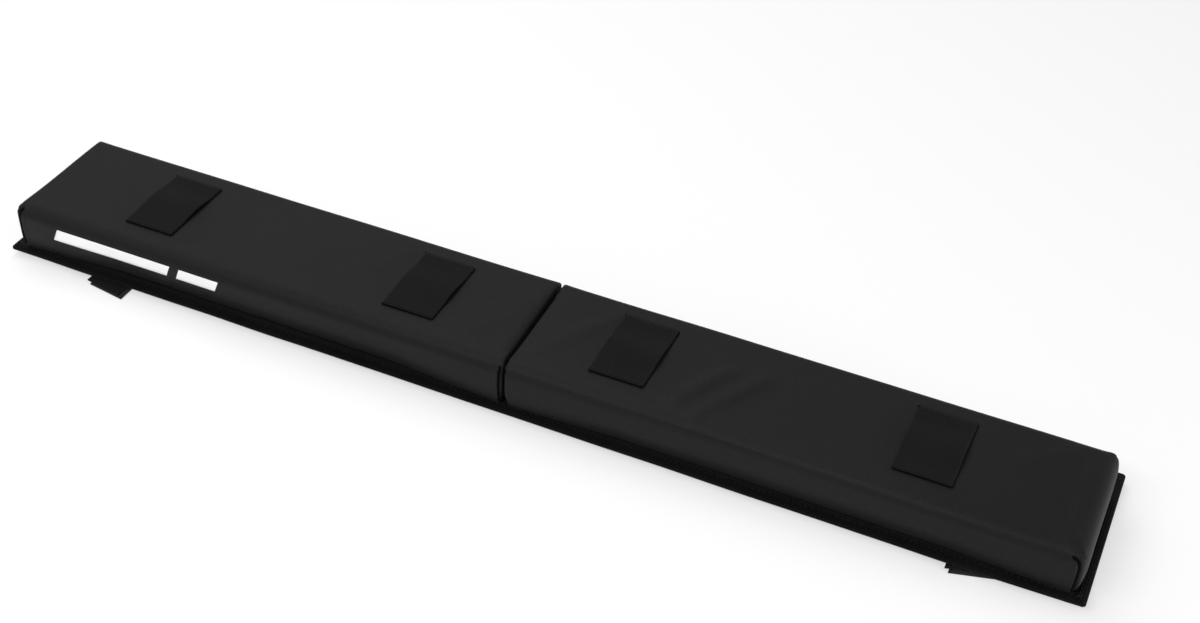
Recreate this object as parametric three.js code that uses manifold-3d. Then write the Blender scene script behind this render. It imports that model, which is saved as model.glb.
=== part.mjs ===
// A padded sleeve for one car roof bar: two foam blocks in sewn covers on one stiff base panel,
// with four strap loops on top and two wrap closures folded flat underneath.
// Millimetres, +Z up. X runs along the pad, the front long side faces -Y, and the pad lies on z = 0.
import * as THREE from 'three';
import { mergeVertices } from 'three/addons/utils/BufferGeometryUtils.js';
import Module from 'manifold-3d';

const wasm = await Module();
wasm.setup();

// Base panel: one stiff sheet under both halves, with a thinner rim for the binding
const panelLength = 711;
const panelThickness = 3;
const panelCornerRadius = 2;
const frontMargin = 2;
const rearMargin = 21;
const leftMargin = 7.5;

// Edge binding: tape folded over the rim, flush with the panel's faces
const bindingWidth = 7;
const bindingThickness = 0.7;

// Covers: sewn woven shells, open underneath
const podWidth = 91;
const podHeight = 33.5;
const leftPodLength = 349.8;
const rightPodLength = 348;
const grooveWidth = 1.2;
const coverWall = 1;
const bottomTuck = 2.5;
const rightEndTuck = 6;
const bulgeHeight = 0.5;
const frontTopRadius = 9;
const rearTopRadius = 6;
const leftEndTopRadius = 4;
const rightEndTopRadius = 10;
const grooveTopRadius = 2;
const leftCornerRadius = 4;
const rightCornerRadius = 7;
const grooveCornerRadius = 2;

// Strap loops on top: webbing sewn down at its front and rear ends, arched between them
const loopWidth = 35;
const loopLength = 57;
const loopThickness = 1.2;
const loopArch = 2;
const loopSewnEnd = 9;
const loopOffsetY = 1.5;
const outerLeftLoopFromEnd = 91;
const innerLeftLoopFromGroove = 71.5;
const innerRightLoopFromGroove = 65.5;
const outerRightLoopFromEnd = 98;

// Wrap closures: a hook strap from the rear margin and a loop strap from the front, closed on each other
const strapWidth = 27;
const strapThickness = 1.4;
const strapFromLeftEnd = 78.5;
const strapFromRightEnd = 61;
const leftStrapReach = 8;
const leftStrapSlant = 4;
const rightStrapReach = 3;
const rightStrapSlant = 7.5;
const hookStrapRearInset = 4;
const strapOverlap = 40;
const strapRamp = 12;
const loopStrapSetback = 1;
const loopStrapShift = 2.5;

// Clearances and curve fineness
const clearance = 0.3;
const arcSteps = 7;
const archSteps = 12;

// Heights and long edges that the pieces share
const panelBottom = 2 * (strapThickness + clearance);
const panelTop = panelBottom + panelThickness;
const podBottom = panelTop + clearance;
const podTop = panelTop + podHeight;
const panelWidth = frontMargin + podWidth + rearMargin;
const panelRear = (panelWidth + leftStrapReach) / 2;
const panelFront = panelRear - panelWidth;
const panelLeft = -panelLength / 2;
const podFront = panelFront + frontMargin;
const podRear = podFront + podWidth;
const grooveLeft = panelLeft + leftMargin + leftPodLength;
const grooveRight = grooveLeft + grooveWidth;

const fabric = { color: 0x1f2022, roughness: 0.75, metalness: 0 };
const webbing = { color: 0x141415, roughness: 0.9, metalness: 0 };
const tape = { color: 0x1a1a1b, roughness: 0.85, metalness: 0 };
const panelCloth = { color: 0x161617, roughness: 0.8, metalness: 0 };
const foam = { color: 0x3a3a3a, roughness: 0.95, metalness: 0 };

// A closed mesh as a solid for joining and cutting
function toSolid(geometry) {
  geometry.deleteAttribute('normal');
  geometry.deleteAttribute('uv');
  const merged = mergeVertices(geometry, 1e-4);
  return new wasm.Manifold(new wasm.Mesh({
    numProp: 3,
    vertProperties: new Float32Array(merged.attributes.position.array),
    triVerts: new Uint32Array(merged.index.array),
  }));
}

// A solid back as a mesh geometry
function toGeometry(solid) {
  const mesh = solid.getMesh();
  const geometry = new THREE.BufferGeometry();
  geometry.setAttribute('position', new THREE.BufferAttribute(new Float32Array(mesh.vertProperties), 3));
  geometry.setIndex(new THREE.BufferAttribute(new Uint32Array(mesh.triVerts), 1));
  geometry.computeVertexNormals();
  return geometry;
}

// A shape drawn in two axes and extruded between two places on the third
function extruded(shape, axis, from, to) {
  const geometry = new THREE.ExtrudeGeometry(shape, {
    depth: to - from, bevelEnabled: false, curveSegments: arcSteps, steps: 1,
  });
  const place = new THREE.Matrix4();
  if (axis === 'x') {
    place.makeBasis(new THREE.Vector3(0, 1, 0), new THREE.Vector3(0, 0, 1), new THREE.Vector3(1, 0, 0));
    place.setPosition(from, 0, 0);
  } else if (axis === 'y') {
    place.makeBasis(new THREE.Vector3(1, 0, 0), new THREE.Vector3(0, 0, 1), new THREE.Vector3(0, -1, 0));
    place.setPosition(0, to, 0);
  } else {
    place.setPosition(0, 0, from);
  }
  return toSolid(geometry.applyMatrix4(place));
}

// A rectangle in plan, with one corner radius for its left corners and one for its right
function planOutline(left, right, front, rear, leftRadius, rightRadius) {
  const shape = new THREE.Shape();
  shape.moveTo(left + leftRadius, front);
  shape.lineTo(right - rightRadius, front);
  shape.absarc(right - rightRadius, front + rightRadius, rightRadius, -Math.PI / 2, 0, false);
  shape.lineTo(right, rear - rightRadius);
  shape.absarc(right - rightRadius, rear - rightRadius, rightRadius, 0, Math.PI / 2, false);
  shape.lineTo(left + leftRadius, rear);
  shape.absarc(left + leftRadius, rear - leftRadius, leftRadius, Math.PI / 2, Math.PI, false);
  shape.lineTo(left, front + leftRadius);
  shape.absarc(left + leftRadius, front + leftRadius, leftRadius, Math.PI, Math.PI * 1.5, false);
  return shape;
}

// An upright section of a stuffed cover: rounded at the top, widest below its middle, tucked in at its foot
function stuffedSection(low, high, bottom, top, lowRadius, highRadius, highTuck) {
  const widest = podBottom + (podTop - podBottom) * bulgeHeight;
  const shape = new THREE.Shape();
  shape.moveTo(low + bottomTuck, bottom);
  shape.lineTo(high - highTuck, bottom);
  shape.quadraticCurveTo(high, (bottom + widest) / 2, high, widest);
  shape.lineTo(high, top - highRadius);
  shape.absarc(high - highRadius, top - highRadius, highRadius, 0, Math.PI / 2, false);
  shape.lineTo(low + lowRadius, top);
  shape.absarc(low + lowRadius, top - lowRadius, lowRadius, Math.PI / 2, Math.PI, false);
  shape.lineTo(low, widest);
  shape.quadraticCurveTo(low, (bottom + widest) / 2, low + bottomTuck, bottom);
  return shape;
}

// The rounded form of one half, drawn in from the cover's outside by an inset on every side but its foot
function podForm(pod, inset, foot) {
  const left = pod.left + inset;
  const right = pod.right - inset;
  const front = podFront + inset;
  const rear = podRear - inset;
  const top = podTop - inset;
  const across = stuffedSection(front, rear, foot, top,
    frontTopRadius - inset, rearTopRadius - inset, bottomTuck);
  const along = stuffedSection(left, right, foot, top,
    pod.leftTop - inset, pod.rightTop - inset, pod.rightTuck);
  const plan = planOutline(left, right, front, rear, pod.leftCorner - inset, pod.rightCorner - inset);
  return extruded(across, 'x', left, right)
    .intersect(extruded(along, 'y', front, rear))
    .intersect(extruded(plan, 'z', foot, top));
}

// A sewn cover: the outside form less a form one wall smaller that runs out at the foot
function coverSolid(pod) {
  return podForm(pod, 0, podBottom).subtract(podForm(pod, coverWall, podBottom - clearance));
}

// The foam inside a cover
function foamSolid(pod) {
  return podForm(pod, coverWall + clearance, podBottom);
}

// The panel's outline, drawn in from its binding by an inset
function panelOutline(inset) {
  const radius = Math.max(panelCornerRadius - inset, 0.5);
  return planOutline(panelLeft + inset, panelLeft + panelLength - inset,
    panelFront + inset, panelRear - inset, radius, radius);
}

// The stiff panel: full thickness inside the binding, and a thin rim that the binding folds over
function panelSolid() {
  const skin = bindingThickness + clearance;
  return extruded(panelOutline(bindingWidth + clearance), 'z', panelBottom, panelTop)
    .add(extruded(panelOutline(skin), 'z', panelBottom + skin, panelTop - skin));
}

// The folded tape round the panel's rim
function bindingSolid() {
  return extruded(panelOutline(0), 'z', panelBottom, panelTop)
    .subtract(extruded(panelOutline(bindingWidth), 'z', panelBottom - clearance, panelTop + clearance))
    .subtract(extruded(panelOutline(bindingThickness), 'z',
      panelBottom + bindingThickness, panelTop - bindingThickness));
}

// A webbing loop on top of the pad: flat sewn ends and a low arch between them
function loopSolid(centreX) {
  const front = (podFront + podRear - loopLength) / 2 + loopOffsetY;
  const span = loopLength - 2 * loopSewnEnd;
  const under = podTop + clearance;
  const heights = Array.from({ length: archSteps + 1 }, (unused, step) => ({
    y: front + loopSewnEnd + span * step / archSteps,
    z: under + loopArch * (1 - Math.cos(2 * Math.PI * step / archSteps)) / 2,
  }));
  const shape = new THREE.Shape();
  shape.moveTo(front, under);
  heights.forEach(({ y, z }) => shape.lineTo(y, z));
  shape.lineTo(front + loopLength, under);
  shape.lineTo(front + loopLength, under + loopThickness);
  heights.reverse().forEach(({ y, z }) => shape.lineTo(y, z + loopThickness));
  shape.lineTo(front, under + loopThickness);
  return extruded(shape, 'x', centreX - loopWidth / 2, centreX + loopWidth / 2);
}

// A strap's outline in plan, its front end cut at a slant: a positive slant cuts back the left corner
function strapPlan(centreX, tip, slant, rear) {
  const shape = new THREE.Shape();
  shape.moveTo(centreX - strapWidth / 2, tip + Math.max(slant, 0));
  shape.lineTo(centreX + strapWidth / 2, tip + Math.max(-slant, 0));
  shape.lineTo(centreX + strapWidth / 2, rear);
  shape.lineTo(centreX - strapWidth / 2, rear);
  return shape;
}

// The lower strap of a closure: sewn under the rear margin, stepping down below the upper strap
function hookStrapSolid(closure) {
  const tip = panelFront - closure.reach;
  const rear = panelRear - hookStrapRearInset;
  const stepEnd = panelFront + strapOverlap + clearance;
  const high = panelBottom - clearance;
  const side = new THREE.Shape();
  side.moveTo(tip, 0);
  side.lineTo(stepEnd, 0);
  side.lineTo(stepEnd + strapRamp, high - strapThickness);
  side.lineTo(rear, high - strapThickness);
  side.lineTo(rear, high);
  side.lineTo(stepEnd + strapRamp, high);
  side.lineTo(stepEnd, strapThickness);
  side.lineTo(tip, strapThickness);
  return extruded(side, 'x', closure.x - strapWidth / 2, closure.x + strapWidth / 2)
    .intersect(extruded(strapPlan(closure.x, tip, closure.slant, rear), 'z', 0, panelBottom));
}

// The upper strap of a closure: flat between the panel and the lower strap
function loopStrapSolid(closure) {
  const tip = panelFront - closure.reach + loopStrapSetback;
  const low = strapThickness + clearance;
  const plan = strapPlan(closure.x - loopStrapShift, tip, closure.slant, panelFront + strapOverlap);
  return extruded(plan, 'z', low, low + strapThickness);
}

const leftPod = {
  left: grooveLeft - leftPodLength,
  right: grooveLeft,
  leftTop: leftEndTopRadius,
  rightTop: grooveTopRadius,
  rightTuck: bottomTuck,
  leftCorner: leftCornerRadius,
  rightCorner: grooveCornerRadius,
};
const rightPod = {
  left: grooveRight,
  right: grooveRight + rightPodLength,
  leftTop: grooveTopRadius,
  rightTop: rightEndTopRadius,
  rightTuck: rightEndTuck,
  leftCorner: grooveCornerRadius,
  rightCorner: rightCornerRadius,
};
const leftClosure = { x: panelLeft + strapFromLeftEnd, reach: leftStrapReach, slant: leftStrapSlant };
const rightClosure = {
  x: panelLeft + panelLength - strapFromRightEnd,
  reach: rightStrapReach,
  slant: -rightStrapSlant,
};

const pad = new THREE.Group();

// Adds one named piece of the pad
function addPiece(name, solid, look) {
  const mesh = new THREE.Mesh(toGeometry(solid), new THREE.MeshStandardMaterial(look));
  mesh.name = name;
  pad.add(mesh);
}

addPiece('base_panel', panelSolid(), panelCloth);
addPiece('edge_binding', bindingSolid(), tape);
addPiece('left_cover', coverSolid(leftPod), fabric);
addPiece('right_cover', coverSolid(rightPod), fabric);
addPiece('left_foam_block', foamSolid(leftPod), foam);
addPiece('right_foam_block', foamSolid(rightPod), foam);
addPiece('outer_left_loop', loopSolid(leftPod.left + outerLeftLoopFromEnd), webbing);
addPiece('inner_left_loop', loopSolid(grooveLeft - innerLeftLoopFromGroove), webbing);
addPiece('inner_right_loop', loopSolid(grooveRight + innerRightLoopFromGroove), webbing);
addPiece('outer_right_loop', loopSolid(rightPod.right - outerRightLoopFromEnd), webbing);
addPiece('left_hook_strap', hookStrapSolid(leftClosure), webbing);
addPiece('right_hook_strap', hookStrapSolid(rightClosure), webbing);
addPiece('left_loop_strap', loopStrapSolid(leftClosure), webbing);
addPiece('right_loop_strap', loopStrapSolid(rightClosure), webbing);

export default pad;
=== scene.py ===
import math
import bmesh
import bpy
import numpy as np
from mathutils import Matrix, Vector, noise
from mathutils.bvhtree import BVHTree


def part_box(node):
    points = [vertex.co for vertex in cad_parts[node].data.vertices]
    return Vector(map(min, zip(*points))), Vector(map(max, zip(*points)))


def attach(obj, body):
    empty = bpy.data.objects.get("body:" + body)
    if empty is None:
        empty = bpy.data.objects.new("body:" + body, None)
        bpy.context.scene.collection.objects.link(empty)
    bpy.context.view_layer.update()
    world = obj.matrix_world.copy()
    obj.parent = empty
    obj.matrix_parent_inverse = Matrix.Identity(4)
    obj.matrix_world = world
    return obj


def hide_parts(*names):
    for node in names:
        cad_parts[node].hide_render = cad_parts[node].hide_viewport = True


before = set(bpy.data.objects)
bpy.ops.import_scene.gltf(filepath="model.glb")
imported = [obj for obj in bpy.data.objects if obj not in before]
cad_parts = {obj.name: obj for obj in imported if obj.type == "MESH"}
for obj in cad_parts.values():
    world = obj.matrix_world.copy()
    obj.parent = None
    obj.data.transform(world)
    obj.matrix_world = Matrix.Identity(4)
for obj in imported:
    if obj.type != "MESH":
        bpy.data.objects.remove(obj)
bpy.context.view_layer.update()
scene = bpy.context.scene
print("frame loaded:", len(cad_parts), "nodes")


# Small helpers

def srgb(hexColour):
    channels = [int(hexColour[i:i + 2], 16) / 255 for i in (1, 3, 5)]
    linear = [c / 12.92 if c <= 0.04045 else ((c + 0.055) / 1.055) ** 2.4 for c in channels]
    return (*linear, 1.0)


def addNode(tree, kind, settings=None, **inputs):
    node = tree.nodes.new(kind)
    for key, value in (settings or {}).items():
        setattr(node, key, value)
    for key, value in inputs.items():
        socket = node.inputs[int(key[1:])] if key[1:].isdigit() else node.inputs[key.replace("_", " ")]
        if isinstance(value, bpy.types.NodeSocket):
            tree.links.new(value, socket)
        else:
            socket.default_value = value
    return node


def newPiece(name, mesh, material):
    piece = bpy.data.objects.new(name, mesh)
    scene.collection.objects.link(piece)
    mesh.materials.clear()
    mesh.materials.append(material)
    mesh.shade_smooth()
    return piece


def meshFrom(name, points, faces):
    mesh = bpy.data.meshes.new(name)
    mesh.from_pydata([tuple(p) for p in points], [], faces)
    mesh.validate()
    tidy = bmesh.new()
    tidy.from_mesh(mesh)
    bmesh.ops.recalc_face_normals(tidy, faces=tidy.faces)
    tidy.to_mesh(mesh)
    tidy.free()
    return mesh


def freeze(piece):
    # turns the live modifiers into a plain mesh
    graph = bpy.context.evaluated_depsgraph_get()
    mesh = bpy.data.meshes.new_from_object(piece.evaluated_get(graph))
    piece.modifiers.clear()
    piece.data = mesh


def coordinates(mesh):
    flat = np.empty(len(mesh.vertices) * 3, np.float64)
    mesh.vertices.foreach_get("co", flat)
    return flat.reshape(-1, 3)


def setCoordinates(mesh, points):
    mesh.vertices.foreach_set("co", points.astype(np.float32).ravel())
    mesh.update()


def vertexNormals(mesh):
    flat = np.empty(len(mesh.vertices) * 3)
    mesh.vertices.foreach_get("normal", flat)
    return flat.reshape(-1, 3)


def clothMap(mesh):
    # lays the cloth's threads along each side of a piece: one flat map per side, in metres
    layer = mesh.uv_layers.new(name="cloth")
    points = coordinates(mesh)
    for face in mesh.polygons:
        normal = [abs(c) for c in face.normal]
        side = normal.index(max(normal))
        first, second = ((1, 2), (0, 2), (0, 1))[side]
        for corner in face.loop_indices:
            point = points[mesh.loops[corner].vertex_index]
            layer.data[corner].uv = (point[first], point[second])


# Materials

# bands per metre that a wave texture draws for each unit of its scale
waveBands = 3.1831


def threadHeight(tree, spacing, ribbed):
    # height of a plain weave: warp and weft as crossing bands, in the cloth's own map
    threads = 1 / spacing
    where = addNode(tree, "ShaderNodeUVMap", {"uv_map": "cloth"}).outputs[0]
    bands = []
    for direction in ("X", "Y"):
        wave = addNode(tree, "ShaderNodeTexWave",
                       {"bands_direction": direction, "wave_profile": "SIN"},
                       Vector=where, Scale=threads / waveBands, Distortion=0.6, Detail=1.0)
        bands.append(wave.outputs["Fac"])
    mode = "MULTIPLY" if ribbed else "MAXIMUM"
    return addNode(tree, "ShaderNodeMath", {"operation": mode}, i0=bands[0], i1=bands[1]).outputs[0]


def clothMaterial(name, look):
    material = bpy.data.materials.new(name)
    material.use_nodes = True
    tree = material.node_tree
    shader = tree.nodes["Principled BSDF"]
    shader.inputs["Roughness"].default_value = look["roughness"]
    shader.inputs["Specular IOR Level"].default_value = look["specular"]
    shader.inputs["Sheen Weight"].default_value = look["sheen"]
    shader.inputs["Sheen Roughness"].default_value = look["sheenRoughness"]
    shader.inputs["Sheen Tint"].default_value = srgb(look["sheenColour"])
    height = threadHeight(tree, look["spacing"], look.get("ribbed", False))
    place = addNode(tree, "ShaderNodeTexCoord").outputs["Object"]
    shade = addNode(tree, "ShaderNodeTexNoise", None, Vector=place, Scale=look["shadeScale"], Detail=3.0)
    threadShade = addNode(tree, "ShaderNodeMixRGB", None,
                          Fac=height, Color1=srgb(look["gap"]), Color2=srgb(look["thread"]))
    worn = addNode(tree, "ShaderNodeMixRGB", {"blend_type": "MIX"},
                   Fac=addNode(tree, "ShaderNodeMapRange", None, i0=shade.outputs["Fac"],
                               i1=0.35, i2=0.7, i3=0.0, i4=look["variation"]).outputs[0],
                   Color1=threadShade.outputs[0], Color2=srgb(look["worn"]))
    tree.links.new(worn.outputs[0], shader.inputs["Base Color"])
    fuzz = addNode(tree, "ShaderNodeTexNoise", None, Vector=place, Scale=look["fuzzScale"], Detail=2.0)
    relief = addNode(tree, "ShaderNodeMath", {"operation": "MULTIPLY_ADD"},
                     i0=fuzz.outputs["Fac"], i1=look["fuzz"], i2=height)
    bump = addNode(tree, "ShaderNodeBump", None, Height=relief.outputs[0],
                   Strength=look["bump"], Distance=look["spacing"] * 0.35)
    tree.links.new(bump.outputs["Normal"], shader.inputs["Normal"])
    return material


# Coated polyester, about 600 denier, plain woven: dull black with a faint sheen at low angles.
# The real threads lie about 0.6 mm apart, and are drawn at 1.2 mm so that they show.
coverCloth = clothMaterial("polyesterOxfordWoven", {
    "thread": "#161616", "gap": "#090909", "worn": "#191919", "variation": 0.5, "spacing": 0.0012,
    "roughness": 0.5, "specular": 0.12, "sheen": 0.03, "sheenRoughness": 0.45, "sheenColour": "#d0d0d0",
    "bump": 0.25, "fuzz": 0.25, "fuzzScale": 900.0, "shadeScale": 7.0})

# The same cloth drawn tight over the stiff sheet, with less shine on its coating, and coloured darker as
# painted shade for the shade it lies in beside the blocks
panelClothShaded = clothMaterial("polyesterPanelWovenShaded", {
    "thread": "#0f0f0f", "gap": "#070707", "worn": "#121212", "variation": 0.4, "spacing": 0.0011,
    "roughness": 0.75, "specular": 0.1, "sheen": 0.03, "sheenRoughness": 0.5, "sheenColour": "#d0d0d0",
    "bump": 0.4, "fuzz": 0.3, "fuzzScale": 900.0, "shadeScale": 12.0})

# Folded polyester tape, ribbed across: the ribs catch a little light along the edge
bindingTape = clothMaterial("polyesterTapeRibbed", {
    "thread": "#101010", "gap": "#030303", "worn": "#131313", "variation": 0.5, "spacing": 0.0014,
    "roughness": 0.7, "specular": 0.07, "sheen": 0.04, "sheenRoughness": 0.4, "sheenColour": "#d0d0d0",
    "bump": 0.7, "fuzz": 0.4, "fuzzScale": 700.0, "shadeScale": 30.0, "ribbed": True})

# Polypropylene webbing, flat woven and matt: darker than the cover because light sinks between its ribs
webbingBlack = clothMaterial("polypropyleneWebbingMatt", {
    "thread": "#0f0f0f", "gap": "#090909", "worn": "#131313", "variation": 0.45, "spacing": 0.0013,
    "roughness": 0.85, "specular": 0.1, "sheen": 0.03, "sheenRoughness": 0.6, "sheenColour": "#c0c0c0",
    "bump": 0.35, "fuzz": 0.5, "fuzzScale": 600.0, "shadeScale": 40.0})

# Nylon hook and loop tape: a napped face, the mattest of all the pieces
closureNap = clothMaterial("nylonHookAndLoopNapped", {
    "thread": "#151516", "gap": "#060606", "worn": "#1b1b1b", "variation": 0.5, "spacing": 0.0018,
    "roughness": 0.95, "specular": 0.15, "sheen": 0.15, "sheenRoughness": 0.8, "sheenColour": "#a0a0a0",
    "bump": 0.9, "fuzz": 1.4, "fuzzScale": 1500.0, "shadeScale": 60.0})


def plainMaterial(name, colour, roughness, specular, grainScale, grain):
    material = bpy.data.materials.new(name)
    material.use_nodes = True
    tree = material.node_tree
    shader = tree.nodes["Principled BSDF"]
    shader.inputs["Roughness"].default_value = roughness
    shader.inputs["Specular IOR Level"].default_value = specular
    place = addNode(tree, "ShaderNodeTexCoord").outputs["Object"]
    grainTexture = addNode(tree, "ShaderNodeTexNoise", None, Vector=place, Scale=grainScale, Detail=2.0)
    tint = addNode(tree, "ShaderNodeMixRGB", {"blend_type": "MULTIPLY"},
                   Fac=grain, Color1=srgb(colour), Color2=grainTexture.outputs["Color"])
    tree.links.new(tint.outputs[0], shader.inputs["Base Color"])
    bump = addNode(tree, "ShaderNodeBump", None, Height=grainTexture.outputs["Fac"],
                   Strength=0.3, Distance=0.0002)
    tree.links.new(bump.outputs["Normal"], shader.inputs["Normal"])
    return material


# Bonded polyester thread, twisted: slightly glossier than the cloth it sews
threadBlack = plainMaterial("polyesterThreadTwisted", "#111112", 0.6, 0.2, 4000.0, 0.3)

# The same thread coloured almost black as painted shade: laid in the corner darts for the dark of their
# slits, and along the strap loops' edges for the shadow line under them
threadPaintedShade = plainMaterial("polyesterThreadPaintedShade", "#060606", 0.9, 0.05, 4000.0, 0.3)

# Closed-cell polyethylene foam, skived: seen only where a cover is lifted
foamGrey = plainMaterial("polyethyleneFoamSkived", "#3a3a3a", 0.95, 0.1, 1200.0, 0.6)

# Screen-printed plastisol ink: flat white that keeps a trace of the weave under it
inkWhite = plainMaterial("plastisolInkPrinted", "#f4f4f4", 0.6, 0.3, 900.0, 0.06)
print("materials ready")


# Stitches: one tree lays thread along any path of edges

def stitchTree():
    tree = bpy.data.node_groups.new("threadAlongSeam", "GeometryNodeTree")
    face = tree.interface
    face.new_socket("Geometry", in_out="INPUT", socket_type="NodeSocketGeometry")
    for name, value in (("Spacing", 0.0035), ("Length", 0.0026), ("Thickness", 0.0006)):
        face.new_socket(name, in_out="INPUT", socket_type="NodeSocketFloat").default_value = value
    face.new_socket("Thread", in_out="INPUT", socket_type="NodeSocketMaterial")
    face.new_socket("Geometry", in_out="OUTPUT", socket_type="NodeSocketGeometry")
    given = addNode(tree, "NodeGroupInput")
    curve = addNode(tree, "GeometryNodeMeshToCurve", None, i0=given.outputs["Geometry"])
    even = addNode(tree, "GeometryNodeResampleCurve", {"mode": "LENGTH"}, Curve=curve.outputs[0],
                   Length=given.outputs["Spacing"])
    bead = addNode(tree, "GeometryNodeMeshUVSphere", None, Segments=6, Rings=4, Radius=0.5)
    tangent = addNode(tree, "GeometryNodeInputTangent")
    turn = addNode(tree, "FunctionNodeAlignRotationToVector", {"axis": "X"},
                   Vector=tangent.outputs[0])
    size = addNode(tree, "ShaderNodeCombineXYZ", None, X=given.outputs["Length"],
                   Y=given.outputs["Thickness"], Z=given.outputs["Thickness"])
    laid = addNode(tree, "GeometryNodeInstanceOnPoints", None, Points=even.outputs[0],
                   Instance=bead.outputs[0], Rotation=turn.outputs[0], Scale=size.outputs[0])
    real = addNode(tree, "GeometryNodeRealizeInstances", None, Geometry=laid.outputs[0])
    coloured = addNode(tree, "GeometryNodeSetMaterial", None, Geometry=real.outputs[0],
                       Material=given.outputs["Thread"])
    addNode(tree, "NodeGroupOutput", None, Geometry=coloured.outputs[0])
    return tree


seamTree = stitchTree()


def sewAlong(name, paths, slotName, spacing=0.0035, length=0.0026, thickness=0.0006, thread=threadBlack):
    # paths are lists of points; a path whose ends meet is closed
    points, edges = [], []
    for path in paths:
        start = len(points)
        points += [tuple(p) for p in path]
        edges += [(start + i, start + i + 1) for i in range(len(path) - 1)]
    mesh = bpy.data.meshes.new(name + "Path")
    mesh.from_pydata(points, edges, [])
    carrier = bpy.data.objects.new(name + "Path", mesh)
    scene.collection.objects.link(carrier)
    modifier = carrier.modifiers.new("thread", "NODES")
    modifier.node_group = seamTree
    values = {"Spacing": spacing, "Length": length, "Thickness": thickness, "Thread": thread}
    for item in seamTree.interface.items_tree:
        if item.in_out == "INPUT" and item.name in values:
            modifier[item.identifier] = values[item.name]
    graph = bpy.context.evaluated_depsgraph_get()
    sewn = bpy.data.meshes.new_from_object(carrier.evaluated_get(graph))
    bpy.data.objects.remove(carrier)
    sewn.name = name
    return newPiece(name, sewn, thread)


# Covers: foam block form, remeshed, blown up a little by cloth simulation, then creased

covers = {
    "voxel": 0.0024,
    "pressure": 4.0,
    "lastFrame": 20,
    "sewnFoot": 0.003,
    "mostSwell": 0.0007,
    "proud": [(0.0, 0.0), (0.0003, 0.0003), (0.0, 0.0002)],
    "formShare": 0.8,
    "formReach": 0.006,
    "formSearch": 0.011,
    "evenPasses": 2,
    "tuck": {"left": 0.0056, "right": 0.0042},
    "tuckRise": {"left": 0.026, "right": 0.020},
    "tuckReach": 0.030,
    "grooveLean": 0.0019,
    "leanReach": 0.040,
    "waveHeight": 0.00035,
    "waveScale": (14, 26, 30),
    "stillFoot": 0.006,
    "dartSteps": 6,
    "fineReaches": (0.006, 0.0035),
    "cornerRidge": 0.0007,
    "cornerRidgeWidth": 0.003,
    "cornerCrease": 0.0024,
    "cornerCreaseWidth": 0.0011,
    "seamDepth": 0.0004,
    "seamShadeThread": {"spacing": 0.0010, "length": 0.0018, "thickness": 0.0013},
}


def remeshed(name, node, voxel, material):
    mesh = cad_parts[node].data.copy()
    joined = bmesh.new()
    joined.from_mesh(mesh)
    bmesh.ops.remove_doubles(joined, verts=joined.verts, dist=1e-6)
    joined.to_mesh(mesh)
    joined.free()
    piece = newPiece(name, mesh, material)
    remesh = piece.modifiers.new("evenQuads", "REMESH")
    remesh.mode = "VOXEL"
    remesh.voxel_size = voxel
    freeze(piece)
    return piece


def swell(piece):
    # air pressure rounds the cloth between its seams; the foot stays sewn to the panel
    start = coordinates(piece.data)
    foot = start[:, 2].min()
    sewn = piece.vertex_groups.new(name="foot")
    sewn.add([int(i) for i in np.where(start[:, 2] < foot + covers["sewnFoot"])[0]], 1.0, "REPLACE")
    cloth = piece.modifiers.new("stuffing", "CLOTH")
    cloth.settings.vertex_group_mass = "foot"
    cloth.settings.use_pressure = True
    cloth.settings.uniform_pressure_force = covers["pressure"]
    cloth.settings.quality = 5
    cloth.settings.effector_weights.gravity = 0
    for step in range(1, covers["lastFrame"] + 1):
        scene.frame_set(step)
    graph = bpy.context.evaluated_depsgraph_get()
    blown = piece.evaluated_get(graph).to_mesh()
    moved = coordinates(blown) - start
    piece.evaluated_get(graph).to_mesh_clear()
    piece.modifiers.clear()
    far = np.linalg.norm(moved, axis=1, keepdims=True)
    most = covers["mostSwell"]
    eased = moved / np.maximum(far, 1e-9) * most * np.tanh(far / most)
    setCoordinates(piece.data, start + eased)
    scene.frame_set(1)
    reached = float(np.linalg.norm(eased, axis=1).max()) * 1000
    print("swelled", piece.name, "by up to", round(reached, 2), "mm")


def fitToBox(mesh, low, high):
    # draws the swelled cloth to the cover's own box, side by side, keeping its roundness
    points = coordinates(mesh)
    least, most = points.min(0), points.max(0)
    for axis, (below, above) in enumerate(covers["proud"]):
        share = (points[:, axis] - least[axis]) / (most[axis] - least[axis])
        points[:, axis] = low[axis] - below + share * (high[axis] - low[axis] + below + above)
    setCoordinates(mesh, points)


def pullToForm(mesh, node):
    # draws the rounded cloth back to the form it is cut to, so that its seams stay crisp
    form = BVHTree.FromObject(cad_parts[node], bpy.context.evaluated_depsgraph_get())
    points = coordinates(mesh)
    for index, (point, normal) in enumerate(zip(points, vertexNormals(mesh))):
        out = Vector(normal)
        hit = form.ray_cast(Vector(point) + out * covers["formReach"], -out, covers["formSearch"])[0]
        if hit:
            points[index] += (np.array(hit) - point) * covers["formShare"]
    setCoordinates(mesh, points)
    even = bmesh.new()
    even.from_mesh(mesh)
    for _ in range(covers["evenPasses"]):
        bmesh.ops.smooth_vert(even, verts=even.verts, factor=0.5,
                              use_axis_x=True, use_axis_y=True, use_axis_z=True)
    even.to_mesh(mesh)
    even.free()


def tuckFoot(mesh, low, high, side):
    # the front face curls in under itself between the corners
    points = coordinates(mesh)
    share = np.clip((points[:, 0] - low.x) / (high.x - low.x), 0, 1)
    middle = np.clip(np.sin(math.pi * share) * 1.6, 0, 1) ** 1.5
    rise = np.clip(1 - (points[:, 2] - low.z) / covers["tuckRise"][side], 0, 1) ** 1.6
    front = np.clip(1 - (points[:, 1] - low.y) / covers["tuckReach"], 0, 1)
    points[:, 1] += covers["tuck"][side] * middle * rise * front
    setCoordinates(mesh, points)


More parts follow.
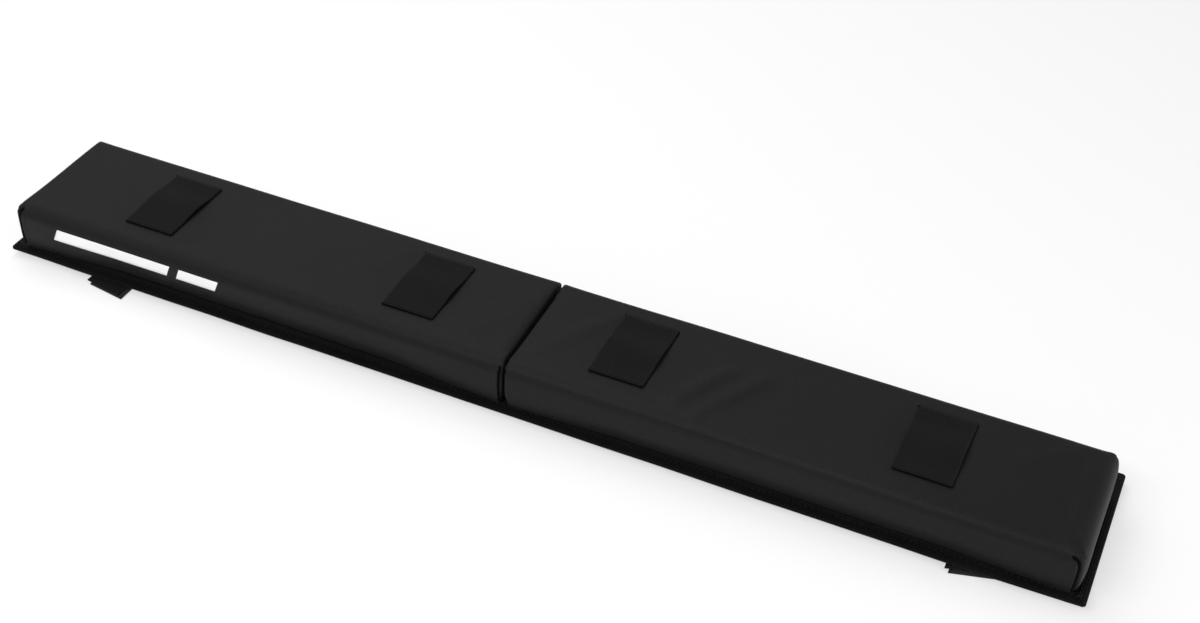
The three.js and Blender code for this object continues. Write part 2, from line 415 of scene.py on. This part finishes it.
def leanAtGroove(mesh, low, high, grooveAtRight):
    # the two blocks press on each other unevenly, so that the groove runs a little askew
    points = coordinates(mesh)
    groove = high.x if grooveAtRight else low.x
    near = np.clip(1 - np.abs(points[:, 0] - groove) / covers["leanReach"], 0, 1)
    front = (high.y - points[:, 1]) / (high.y - low.y)
    points[:, 0] += covers["grooveLean"] * (front * 1.25 - 0.25) * near
    setCoordinates(mesh, points)


def distanceToPath(points, path):
    # nearest distance from each point to a path of straight stretches
    best = np.full(len(points), 1e9)
    for first, last in zip(path[:-1], path[1:]):
        a, b = np.array(first), np.array(last)
        along = b - a
        share = np.clip((points - a) @ along / (along @ along), 0, 1)
        best = np.minimum(best, np.linalg.norm(points - (a + share[:, None] * along), axis=1))
    return best


def refineNear(mesh, paths, reach):
    # finer faces where a narrow crease will run
    fine = bmesh.new()
    fine.from_mesh(mesh)
    points = np.array([v.co[:] for v in fine.verts])
    near = np.zeros(len(points), bool)
    for path in paths:
        near |= distanceToPath(points, path) < reach
    edges = [e for e in fine.edges if near[e.verts[0].index] and near[e.verts[1].index]]
    bmesh.ops.subdivide_edges(fine, edges=edges, cuts=1, use_grid_fill=True, smooth=0.0)
    bmesh.ops.triangulate(fine, faces=[f for f in fine.faces if len(f.verts) > 4])
    fine.to_mesh(mesh)
    fine.free()


def creaseAlong(mesh, path, depth, width, taper=True, broken=False):
    # sinks the cloth along a path; a negative depth lifts a ridge, and a broken one comes and goes
    mesh.update()
    points, normals = coordinates(mesh), vertexNormals(mesh)
    far = distanceToPath(points, path)
    strength = np.exp(-(far / width) ** 2)
    if taper:
        a, b = np.array(path[0]), np.array(path[-1])
        share = np.clip((points - a) @ (b - a) / ((b - a) @ (b - a)), 0, 1)
        strength *= np.sqrt(np.clip(4 * share * (1 - share), 0, 1))
    if broken:
        strength *= np.array([0.7 + 0.5 * noise.noise(Vector((p[0] * 55, 0, 0))) for p in points])
    setCoordinates(mesh, points - normals * (depth * strength)[:, None])


def cornerPath(tree, low, high, atRight, atFront, dart):
    # the dart at an upright corner: down from just under the top edge to the foot, on the cloth itself
    x = high.x if atRight else low.x
    y = low.y if atFront else high.y
    inward = -1 if atRight else 1
    across = 1 if atFront else -1
    marks = [Vector((x + inward * fromEnd, y + across * fromSide, high.z - below))
             for fromEnd, fromSide, below in dart]
    marks = [marks[0] * 2 - marks[1]] + marks + [marks[-1] * 2 - marks[-2]]
    path = []
    for a, b, c, d in zip(marks, marks[1:], marks[2:], marks[3:]):
        run, bend, twist = c - a, 2 * a - 5 * b + 4 * c - d, 3 * b - a - 3 * c + d
        for step in range(covers["dartSteps"]):
            t = step / covers["dartSteps"]
            near = 0.5 * (2 * b + run * t + bend * t ** 2 + twist * t ** 3)
            path.append(tuple(tree.find_nearest(near)[0]))
    return path


def rippled(mesh, low, seed):
    # the slow waves that slack cloth lies in, fading out at the sewn foot
    points = coordinates(mesh)
    places = points * np.array(covers["waveScale"]) + np.array([seed, 0, 0])
    wave = np.array([noise.noise(Vector(place)) for place in places])
    soft = np.clip((points[:, 2] - low.z) / covers["stillFoot"], 0, 1)
    setCoordinates(mesh, points + vertexNormals(mesh) * (wave * soft * covers["waveHeight"])[:, None])


def makeCover(name, coverNode, foamNode, shape):
    low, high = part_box(coverNode)
    piece = remeshed(name, foamNode, covers["voxel"], coverCloth)
    swell(piece)
    fitToBox(piece.data, low, high)
    rounder = piece.modifiers.new("finer", "SUBSURF")
    rounder.levels = rounder.render_levels = 1
    freeze(piece)
    mesh = piece.data
    pullToForm(mesh, coverNode)
    tuckFoot(mesh, low, high, shape["side"])
    leanAtGroove(mesh, low, high, shape["side"] == "left")
    for start, end, height, width in shape["topFolds"]:
        creaseAlong(mesh, [(*start, high.z), (*end, high.z)], -height, width)
    for path, height, width, broken in shape["edgeFolds"]:
        creaseAlong(mesh, path, -height, width, broken=broken)
    rippled(mesh, low, shape["seed"])
    mesh.update()
    tree = BVHTree.FromObject(piece, bpy.context.evaluated_depsgraph_get())
    corners = [cornerPath(tree, low, high, end == "right", front, shape["darts"][end, front])
               for end in ("left", "right") for front in (True, False)]
    for reach in covers["fineReaches"]:
        refineNear(mesh, corners, reach)
    for path in corners:
        creaseAlong(mesh, path, -covers["cornerRidge"], covers["cornerRidgeWidth"], taper=False)
        creaseAlong(mesh, path, covers["cornerCrease"], covers["cornerCreaseWidth"], taper=False)
    # Painted shade: almost black thread beads sunk into each corner dart stand for the dark of the slit along
    # the real seam
    middle = (low + high) / 2
    sunk = [[Vector(p) + (Vector((middle.x, middle.y, p[2])) - Vector(p)).normalized() * covers["seamDepth"]
             for p in path] for path in corners]
    seam = sewAlong(name + "CornerSeamsShaded", sunk, "cover_fabric", thread=threadPaintedShade, **covers["seamShadeThread"])
    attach(seam, "root")
    mesh.shade_smooth()
    clothMap(mesh)
    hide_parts(coverNode)
    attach(piece, "root")
    return piece


leftLow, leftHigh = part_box("left_cover")
rightLow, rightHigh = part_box("right_cover")

# how far each dart's points lie from the end, from the side and below the top
plainDart = [(0.001, 0.001, 0.005), (0.001, 0.001, 0.018), (0.001, 0.001, 0.032)]
hookedDart = [(0.0084, 0.0008, 0.0046), (0.0053, 0.0004, 0.0062), (0.0041, 0.0010, 0.0117),
              (0.0040, 0.0005, 0.0189), (0.0047, 0.0025, 0.0320)]
bentDart = [(0.0060, 0.0010, 0.0040), (0.0032, 0.0010, 0.0090),
            (0.0030, 0.0010, 0.0190), (0.0040, 0.0020, 0.0320)]
lensDart = [(-0.0012, 0.0008, 0.0030), (-0.0006, 0.0, 0.0080), (-0.0002, 0.0, 0.0180),
            (-0.0006, 0.0005, 0.0270), (-0.0014, 0.0010, 0.0325)]
endDart = [(0.0048, 0.0020, 0.0015), (0.0030, 0.0002, 0.0060),
           (0.0028, 0.0, 0.0180), (0.0030, 0.0010, 0.0325)]

# darts are keyed by their end and by whether they are at the front; each fold gives its start and end
# on the top, its height and its width, and each edge fold its path, height, width and whether it breaks off
leftCover = makeCover("leftStuffedCover", "left_cover", "left_foam_block", {
    "seed": 3.0,
    "side": "left",
    "darts": {("left", True): endDart, ("left", False): plainDart,
              ("right", True): lensDart, ("right", False): plainDart},
    "topFolds": [
        ((-0.145, -0.040), (-0.095, 0.020), 0.0008, 0.010),
        ((-0.235, -0.044), (-0.200, -0.012), 0.0006, 0.008),
        ((leftHigh.x, -0.040), (leftHigh.x, 0.034), -0.0010, 0.003),
        ((-0.040, -0.045), (-0.004, 0.010), 0.0008, 0.007)],
    "edgeFolds": []})
rightCover = makeCover("rightStuffedCover", "right_cover", "right_foam_block", {
    "seed": 11.0,
    "side": "right",
    "darts": {("left", True): plainDart, ("left", False): plainDart,
              ("right", True): hookedDart, ("right", False): bentDart},
    "topFolds": [
        ((rightLow.x, -0.040), (rightLow.x, 0.034), -0.0008, 0.003),
        ((0.012, -0.034), (0.052, 0.030), 0.0012, 0.007),
        ((0.103, -0.040), (0.129, 0.011), 0.0020, 0.0065),
        ((0.118, -0.045), (0.152, 0.014), 0.0018, 0.006),
        ((0.120, -0.040), (0.185, -0.020), 0.0008, 0.008),
        ((0.290, 0.000), (0.330, 0.030), 0.0007, 0.008)],
    "edgeFolds": [
        ([(0.075, -0.0482, 0.0377), (0.145, -0.0488, 0.0370), (0.200, -0.0490, 0.0365)],
         0.0007, 0.0045, True),
        ([(0.200, -0.0490, 0.0365), (0.255, -0.0500, 0.0345), (0.335, -0.0500, 0.0345)],
         0.0007, 0.0045, True),
        ([(0.3370, -0.046, 0.0398), (0.3375, 0.036, 0.0398)], 0.0009, 0.0040, False)]})
print("covers made:", len(leftCover.data.polygons), len(rightCover.data.polygons), "faces")

coverTrees = {side: BVHTree.FromObject(piece, bpy.context.evaluated_depsgraph_get())
              for side, piece in (("left", leftCover), ("right", rightCover))}


def coverTop(side, x, y):
    hit = coverTrees[side].ray_cast(Vector((x, y, 0.2)), Vector((0, 0, -1)))[0]
    return hit.z if hit else leftHigh.z


# Strap loops: webbing laid on the cover, sewn at the front and rear

loops = {
    "thickness": 0.0012,
    "lift": 0.0002,
    "arch": 0.0016,
    "sewnEnd": 0.009,
    "across": 28,
    "along": 48,
    "edgeWaver": 0.00025,
    "rimShare": 0.62,
    "stitchInset": 0.0022,
    "stitchSteps": 11,
    "rimSteps": 16,
    "threadRise": 0.0001,
    "edgeShadeRise": 0.0006,
}


def closedStrip(name, top, bottom):
    # a closed mesh from two grids of points of the same size
    rows, columns = len(top), len(top[0])
    points = [p for row in top for p in row] + [p for row in bottom for p in row]
    shift = rows * columns

    def spot(row, column, under=False):
        return row * columns + column + (shift if under else 0)

    faces = []
    for row in range(rows - 1):
        for column in range(columns - 1):
            quad = [(row, column), (row, column + 1), (row + 1, column + 1), (row + 1, column)]
            faces.append([spot(r, c) for r, c in quad])
            faces.append([spot(r, c, True) for r, c in reversed(quad)])
    rim = [(0, c) for c in range(columns - 1)] + [(r, columns - 1) for r in range(rows - 1)]
    rim += [(rows - 1, c) for c in range(columns - 1, 0, -1)] + [(r, 0) for r in range(rows - 1, 0, -1)]
    for here, after in zip(rim, rim[1:] + rim[:1]):
        faces.append([spot(*here), spot(*after), spot(*after, True), spot(*here, True)])
    return meshFrom(name, points, faces)


def makeLoop(name, node, side, seed):
    low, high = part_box(node)
    span, sewn = high.y - low.y, loops["sewnEnd"]

    def archAt(run):
        # how far the webbing stands up at a distance from its front end, between its two sewn ends
        inner = (run - sewn) / (span - 2 * sewn)
        return loops["arch"] * (1 - math.cos(2 * math.pi * inner)) / 2 if 0 < inner < 1 else 0

    top, bottom = [], []
    for i in range(loops["along"] + 1):
        v = i / loops["along"]
        y = low.y + span * v
        rowTop, rowBottom = [], []
        for j in range(loops["across"] + 1):
            u = j / loops["across"]
            x = low.x + (high.x - low.x) * u
            waver = loops["edgeWaver"] * noise.noise(Vector((x * 90, y * 90, seed)))
            atRim = i in (0, loops["along"]) or j in (0, loops["across"])
            base = coverTop(side, x, y) + loops["lift"] + archAt(v * span) + abs(waver) * 0.5
            thick = loops["thickness"] * (loops["rimShare"] if atRim else 1.0)
            pull = Vector((waver, waver, 0))
            rowTop.append(Vector((x, y, base + thick)) + pull)
            rowBottom.append(Vector((x, y, base)) + pull)
        top.append(rowTop)
        bottom.append(rowBottom)
    mesh = closedStrip(name, top, bottom)
    piece = newPiece(name, mesh, webbingBlack)
    clothMap(mesh)
    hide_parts(node)
    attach(piece, "root")

    inset, steps = loops["stitchInset"], loops["stitchSteps"]
    stitches = []
    for y in (low.y + inset, low.y + sewn - inset, high.y - inset, high.y - sewn + inset):
        row = []
        for j in range(steps + 1):
            x = low.x + inset + (high.x - low.x - 2 * inset) * j / steps
            base = coverTop(side, x, y) + loops["lift"]
            row.append((x, y, base + loops["thickness"] + loops["threadRise"]))
        stitches.append(row)
    # painted shade: a row of almost black beads along the loop's rear, right and front edges, for the shadow
    # line under the webbing's edge
    rim = []
    ends = ((low.x, high.y), (high.x, high.y), (high.x, low.y), (low.x, low.y))
    for (x0, y0), (x1, y1) in zip(ends[:-1], ends[1:]):
        for step in range(loops["rimSteps"]):
            share = step / loops["rimSteps"]
            x, y = x0 + (x1 - x0) * share, y0 + (y1 - y0) * share
            rim.append((x, y, coverTop(side, x, y) + archAt(y - low.y) + loops["edgeShadeRise"]))
    return stitches, rim


loopRows, loopRims = [], []
for name, node, side, seed in (("outerLeftLoop", "outer_left_loop", "left", 1.0),
                               ("innerLeftLoop", "inner_left_loop", "left", 2.0),
                               ("innerRightLoop", "inner_right_loop", "right", 3.0),
                               ("outerRightLoop", "outer_right_loop", "right", 4.0)):
    rows, rim = makeLoop(name, node, side, seed)
    loopRows += rows
    loopRims.append(rim)
loopThread = sewAlong("loopStitches", loopRows, "webbing", spacing=0.0031, length=0.0024, thickness=0.0005)
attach(loopThread, "root")
# Painted shade: the edge beads go in the almost black thread
loopEdgeShade = sewAlong("loopEdgeShade", loopRims, "webbing",
                        spacing=0.0021, length=0.0021, thickness=0.0011, thread=threadPaintedShade)
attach(loopEdgeShade, "root")
print("strap loops made")


# Panel and binding: a stiff sheet in cloth, its rim in folded tape

panel = {
    "cornerRadius": 0.002,
    "cornerSteps": 8,
    "edgeStep": 0.006,
    "tapeWidth": 0.0072,
    "waver": 0.00035,
    "curlAtCorner": 0.0012,
    "stitchFromEdge": 0.0048,
    "columns": 120,
    "rows": 22,
    "give": 0.00025,
}
tapeLow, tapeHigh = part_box("edge_binding")


def roundedPath(low, high, radius, inset):
    # points and outward directions round a rectangle in plan
    r = max(radius - inset, 0.0008)
    left, right, front, rear = low.x + inset, high.x - inset, low.y + inset, high.y - inset
    corners = ((right - r, front + r, -90), (right - r, rear - r, 0), (left + r, rear - r, 90),
               (left + r, front + r, 180))
    path = []
    for index, (cx, cy, start) in enumerate(corners):
        for step in range(panel["cornerSteps"] + 1):
            turn = math.radians(start + 90 * step / panel["cornerSteps"])
            path.append((cx + r * math.cos(turn), cy + r * math.sin(turn), math.cos(turn), math.sin(turn)))
        nextX, nextY, nextStart = corners[(index + 1) % 4]
        out = math.radians(nextStart)
        end = (nextX + r * math.cos(out), nextY + r * math.sin(out))
        here = path[-1]
        gap = math.hypot(end[0] - here[0], end[1] - here[1])
        count = max(int(gap / panel["edgeStep"]), 1)
        for step in range(1, count):
            share = step / count
            path.append((here[0] + (end[0] - here[0]) * share, here[1] + (end[1] - here[1]) * share,
                         math.cos(out), math.sin(out)))
    return path


def rimLift(x, y):
    # the tape wavers a little, and its front right corner curls up
    waver = panel["waver"] * noise.noise(Vector((x * 22, y * 22, 5.0)))
    nearCorner = math.hypot(x - tapeHigh.x, y - tapeLow.y) / 0.07
    return waver + panel["curlAtCorner"] * max(0.0, 1 - nearCorner) ** 2


def makeBinding():
    outer = roundedPath(tapeLow, tapeHigh, panel["cornerRadius"], 0.0)
    middle = (tapeLow.z + tapeHigh.z) / 2
    half = (tapeHigh.z - tapeLow.z) / 2
    width = panel["tapeWidth"]
    # section from the upper inner edge, round the fold, to the lower inner edge and back inside
    section = [(-width, half - 0.0001), (-width + 0.0004, half + 0.0002), (-width * 0.5, half + 0.0003),
               (-0.0014, half), (-0.0004, half * 0.72), (0.0, half * 0.3), (0.0, -half * 0.3),
               (-0.0004, -half * 0.72), (-0.0014, -half), (-width * 0.5, -half), (-width, -half),
               (-width, -half + 0.0005), (-0.0016, -half + 0.0005), (-0.0016, half - 0.0005),
               (-width, half - 0.0005)]
    points, faces = [], []
    for x, y, outX, outY in outer:
        for inward, z in section:
            px, py = x + outX * inward, y + outY * inward
            points.append((px, py, middle + z + rimLift(px, py)))
    count, steps = len(section), len(outer)
    for i in range(steps):
        for j in range(count):
            after, below = (i + 1) % steps, (j + 1) % count
            faces.append([i * count + j, after * count + j, after * count + below, i * count + below])
    mesh = meshFrom("bindingTape", points, faces)
    piece = newPiece("bindingTape", mesh, bindingTape)
    clothMap(mesh)
    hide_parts("edge_binding")
    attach(piece, "root")
    seams = []
    inset = panel["stitchFromEdge"]
    for level in (half + 0.00035, -half - 0.0001):
        path = roundedPath(tapeLow, tapeHigh, panel["cornerRadius"], inset)
        ring = [(x, y, middle + level + rimLift(x, y)) for x, y, _, _ in path]
        seams.append(ring + ring[:1])
    thread = sewAlong("bindingStitches", seams, "binding_tape",
                      spacing=0.0036, length=0.0028, thickness=0.0006)
    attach(thread, "root")


makeBinding()


def makePanel():
    low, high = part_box("base_panel")
    inset = panel["tapeWidth"] - 0.001 - (low.x - tapeLow.x)
    columns, rows = panel["columns"], panel["rows"]
    top, bottom = [], []
    for i in range(rows + 1):
        y = low.y + inset + (high.y - low.y - 2 * inset) * i / rows
        rowTop, rowBottom = [], []
        for j in range(columns + 1):
            x = low.x + inset + (high.x - low.x - 2 * inset) * j / columns
            give = panel["give"] * noise.noise(Vector((x * 16, y * 30, 9.0))) + rimLift(x, y) * 0.7
            rowTop.append(Vector((x, y, high.z - 0.0002 + min(give, 0.0001))))
            rowBottom.append(Vector((x, y, low.z + 0.0003 + give)))
        top.append(rowTop)
        bottom.append(rowBottom)
    mesh = closedStrip("panelSheet", top, bottom)
    # painted shade: the sheet wears the cover's cloth coloured darker for the shade beside the blocks
    piece = newPiece("panelSheet", mesh, panelClothShaded)
    clothMap(mesh)
    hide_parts("base_panel")
    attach(piece, "root")


makePanel()
print("panel and binding made")


# Wrap closures: two straps each, sewn under opposite edges and pressed together

straps = {
    "thickness": 0.0012,
    "across": 14,
    "step": 0.0025,
    "slant": {"left": 0.004, "right": 0.0075},
    "cutRows": 10,
    "waver": 0.00012,
    "rimShare": 0.7,
    "stepFrom": 0.0003,
    "stepTo": 0.0123,
    "boxLength": 0.020,
    "stitchInset": 0.003,
}


def stripAlong(name, material, profile, left, right, frontCut):
    # a strap along Y: profile gives the underside's height at each y, frontCut how far its end is cut back
    top, bottom = [], []
    for index, (y, z) in enumerate(profile):
        rowTop, rowBottom = [], []
        for j in range(straps["across"] + 1):
            u = j / straps["across"]
            x = left + (right - left) * u
            near = max(0.0, 1 - index / straps["cutRows"])
            back = frontCut(u) * near
            waver = straps["waver"] * noise.noise(Vector((x * 80, y * 60, 2.0)))
            atRim = j in (0, straps["across"]) or index in (0, len(profile) - 1)
            edge = straps["rimShare"] if atRim else 1.0
            rowTop.append(Vector((x + waver * 2, y + back, z + straps["thickness"] * edge + max(waver, 0))))
            rowBottom.append(Vector((x + waver * 2, y + back, z + straps["thickness"] * (1 - edge) * 0.5)))
        top.append(rowTop)
        bottom.append(rowBottom)
    mesh = closedStrip(name, top, bottom)
    piece = newPiece(name, mesh, material)
    clothMap(mesh)
    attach(piece, "root")
    return piece


def makeClosure(side):
    hookLow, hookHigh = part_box(side + "_hook_strap")
    loopLow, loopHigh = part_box(side + "_loop_strap")
    stepStart, stepEnd = loopHigh.y + straps["stepFrom"], loopHigh.y + straps["stepTo"]
    upper = loopLow.z
    slant = straps["slant"][side]

    def cut(u):
        return slant * (1 - u) if side == "left" else slant * u

    profile = []
    count = int((hookHigh.y - hookLow.y) / straps["step"])
    for i in range(count + 1):
        y = hookLow.y + (hookHigh.y - hookLow.y) * i / count
        climb = min(max((y - stepStart) / (stepEnd - stepStart), 0), 1)
        profile.append((y, upper * (climb * climb * (3 - 2 * climb))))
    hook = stripAlong(side + "HookStrap", closureNap, profile, hookLow.x, hookHigh.x, cut)
    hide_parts(side + "_hook_strap")
    count = int((loopHigh.y - loopLow.y) / straps["step"])
    flat = [(loopLow.y + (loopHigh.y - loopLow.y) * i / count, loopLow.z) for i in range(count + 1)]
    loop = stripAlong(side + "LoopStrap", webbingBlack, flat, loopLow.x, loopHigh.x, cut)
    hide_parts(side + "_loop_strap")
    inset = straps["stitchInset"]
    left, right = hookLow.x + inset, hookHigh.x - inset
    rear = hookHigh.y - inset
    front = rear - straps["boxLength"]
    below = upper - 0.0001
    corners = [(left, rear, below), (right, rear, below), (right, front, below), (left, front, below)]
    box = corners + corners[:1]
    thread = sewAlong(side + "ClosureStitches", [box, corners[::2], corners[1::2]], "closure_strap",
                      spacing=0.003, length=0.0023, thickness=0.0005)
    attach(thread, "root")


for side in ("left", "right"):
    makeClosure(side)
print("closures made")


# Foam: each block stands clear of its cover, so that the cloth never shows it

foam = {"clear": 0.0022, "voxel": 0.006}


def makeFoam(side):
    low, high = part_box(side + "_foam_block")
    piece = remeshed(side + "FoamCore", side + "_foam_block", foam["voxel"], foamGrey)
    points = coordinates(piece.data)
    for axis in range(3):
        middle = (low[axis] + high[axis]) / 2
        half = (high[axis] - low[axis]) / 2
        points[:, axis] = middle + (points[:, axis] - middle) * (1 - foam["clear"] / half)
    setCoordinates(piece.data, points)
    tuckFoot(piece.data, *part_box(side + "_cover"), side)
    leanAtGroove(piece.data, *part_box(side + "_cover"), side == "left")
    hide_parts(side + "_foam_block")
    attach(piece, "root")


for side in ("left", "right"):
    makeFoam(side)


# Printed trim: two plain slanted bars on the front of the left cover

trim = {
    "fromLeftEnd": 0.0285,
    "height": 0.009,
    "aboveFoot": 0.0155,
    "slant": 0.004,
    "bars": ((0.0, 0.086), (0.093, 0.122)),
    "proud": 0.00012,
    "inkDepth": 0.0002,
    "columns": 40,
    "rows": 6,
}


def makeTrim():
    points, faces = [], []
    foot = leftLow.z + trim["aboveFoot"]
    columns, rows = trim["columns"], trim["rows"]
    for begin, end in trim["bars"]:
        start = len(points)
        for i in range(columns + 1):
            for k in range(rows + 1):
                rise = k / rows
                along = leftLow.x + trim["fromLeftEnd"] + begin + (end - begin) * i / columns
                x = along + trim["slant"] * rise
                z = foot + trim["height"] * rise
                hit = coverTrees["left"].ray_cast(Vector((x, -0.2, z)), Vector((0, 1, 0)))[0]
                points.append((x, hit.y - trim["proud"], z))
        for i in range(columns):
            for k in range(rows):
                a = start + i * (rows + 1) + k
                b = a + rows + 1
                faces.append([a, b, b + 1, a + 1])
    mesh = bpy.data.meshes.new("printedBars")
    mesh.from_pydata(points, [], faces)
    piece = newPiece("printedBars", mesh, inkWhite)
    thick = piece.modifiers.new("inkLayer", "SOLIDIFY")
    thick.thickness = trim["inkDepth"]
    thick.offset = -1
    freeze(piece)
    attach(piece, "root")


makeTrim()
print("trim made")


# Stage: pale floor, white surround, soft lights, and the camera

stage = {
    "floor": 6.0,
    "floorBelow": 0.0004,
    "floorColour": "#f6f6f6",
    "paleShare": 0.5,
    "surround": 1.0,
    "plainLight": 0.45,
    "lamps": {
        "overheadSoftbox": {"place": (-0.6, 0.4, 1.3), "aim": (-0.1, 0, 0), "size": (1.3, 1.2), "power": 9.5},
        "rightSoftbox": {"place": (1.7, -0.3, 0.22), "aim": (0.3, 0, 0), "size": (0.8, 0.3), "power": 16.0},
        "frontSoftbox": {"place": (-0.2, -1.05, 1.2), "aim": (0.0, 0, 0), "size": (1.4, 0.30), "power": 12.0},
    },
}


def makeFloor():
    half, drop = stage["floor"] / 2, -stage["floorBelow"]
    mesh = bpy.data.meshes.new("floor")
    corners = [(-half, -half, drop), (half, -half, drop), (half, half, drop), (-half, half, drop)]
    mesh.from_pydata(corners, [], [(0, 1, 2, 3)])
    floor = bpy.data.objects.new("floor", mesh)
    scene.collection.objects.link(floor)
    material = bpy.data.materials.new("paperBackdropMatt")
    material.use_nodes = True
    tree = material.node_tree
    shader = tree.nodes["Principled BSDF"]
    shader.inputs["Base Color"].default_value = srgb(stage["floorColour"])
    shader.inputs["Roughness"].default_value = 1.0
    shader.inputs["Specular IOR Level"].default_value = 0.0
    glow = addNode(tree, "ShaderNodeEmission", None, Color=(1, 1, 1, 1), Strength=1.0)
    seenRay = addNode(tree, "ShaderNodeLightPath").outputs["Is Camera Ray"]
    share = addNode(tree, "ShaderNodeMath", {"operation": "MULTIPLY"}, i0=seenRay, i1=stage["paleShare"])
    pale = addNode(tree, "ShaderNodeMixShader", None, Fac=share.outputs[0],
                   i1=shader.outputs[0], i2=glow.outputs[0])
    tree.links.new(pale.outputs[0], tree.nodes["Material Output"].inputs["Surface"])
    mesh.materials.append(material)


makeFloor()
world = bpy.data.worlds.new("studio")
scene.world = world
world.use_nodes = True
sky = world.node_tree
ray = addNode(sky, "ShaderNodeLightPath")
plainLight = sky.nodes["Background"]
plainLight.inputs["Color"].default_value = (1, 1, 1, 1)
plainLight.inputs["Strength"].default_value = stage["plainLight"]
seen = addNode(sky, "ShaderNodeBackground", None, Color=(1, 1, 1, 1), Strength=stage["surround"])
anyRay = addNode(sky, "ShaderNodeMath", {"operation": "MAXIMUM"},
                 i0=ray.outputs["Is Camera Ray"], i1=ray.outputs["Is Transmission Ray"])
mixed = addNode(sky, "ShaderNodeMixShader", None, Fac=anyRay.outputs[0],
                i1=plainLight.outputs[0], i2=seen.outputs[0])
sky.links.new(mixed.outputs[0], sky.nodes["World Output"].inputs["Surface"])


def addLamp(name, place, aim, size, power):
    data = bpy.data.lights.new(name, "AREA")
    data.shape = "RECTANGLE"
    data.size, data.size_y = size
    data.energy = power
    lamp = bpy.data.objects.new(name, data)
    scene.collection.objects.link(lamp)
    lamp.location = place
    lamp.rotation_mode = "QUATERNION"
    lamp.rotation_quaternion = (Vector(aim) - Vector(place)).to_track_quat("-Z", "Y")


for name, lamp in stage["lamps"].items():
    addLamp(name, **lamp)

view = {
    "azimuth": 22.49, "elevation": 38.75, "roll": 2.76,
    "right": 0.0410, "up": 0.0359, "distance": 1.0807, "lens": 52.5,
}


def makeCamera():
    az, el, roll = (math.radians(view[k]) for k in ("azimuth", "elevation", "roll"))
    back = Vector((math.sin(az) * math.cos(el), -math.cos(az) * math.cos(el), math.sin(el)))
    right = Vector((math.cos(az), math.sin(az), 0))
    up = back.cross(right)
    tiltedRight = right * math.cos(roll) + up * math.sin(roll)
    tiltedUp = up * math.cos(roll) - right * math.sin(roll)
    middle = Vector(((leftLow.x + rightHigh.x) / 2, (leftLow.y + leftHigh.y) / 2, tapeLow.z))
    data = bpy.data.cameras.new("photoCamera")
    data.lens = view["lens"]
    data.sensor_width = 36
    data.sensor_fit = "HORIZONTAL"
    data.clip_start, data.clip_end = 0.01, 20
    camera = bpy.data.objects.new("photoCamera", data)
    scene.collection.objects.link(camera)
    camera.matrix_world = Matrix((
        (tiltedRight.x, tiltedUp.x, back.x, 0), (tiltedRight.y, tiltedUp.y, back.y, 0),
        (tiltedRight.z, tiltedUp.z, back.z, 0), (0, 0, 0, 1)))
    camera.location = middle + back * view["distance"] + right * view["right"] + up * view["up"]
    scene.camera = camera


makeCamera()
scene.view_settings.view_transform = "Standard"
print("stage ready")
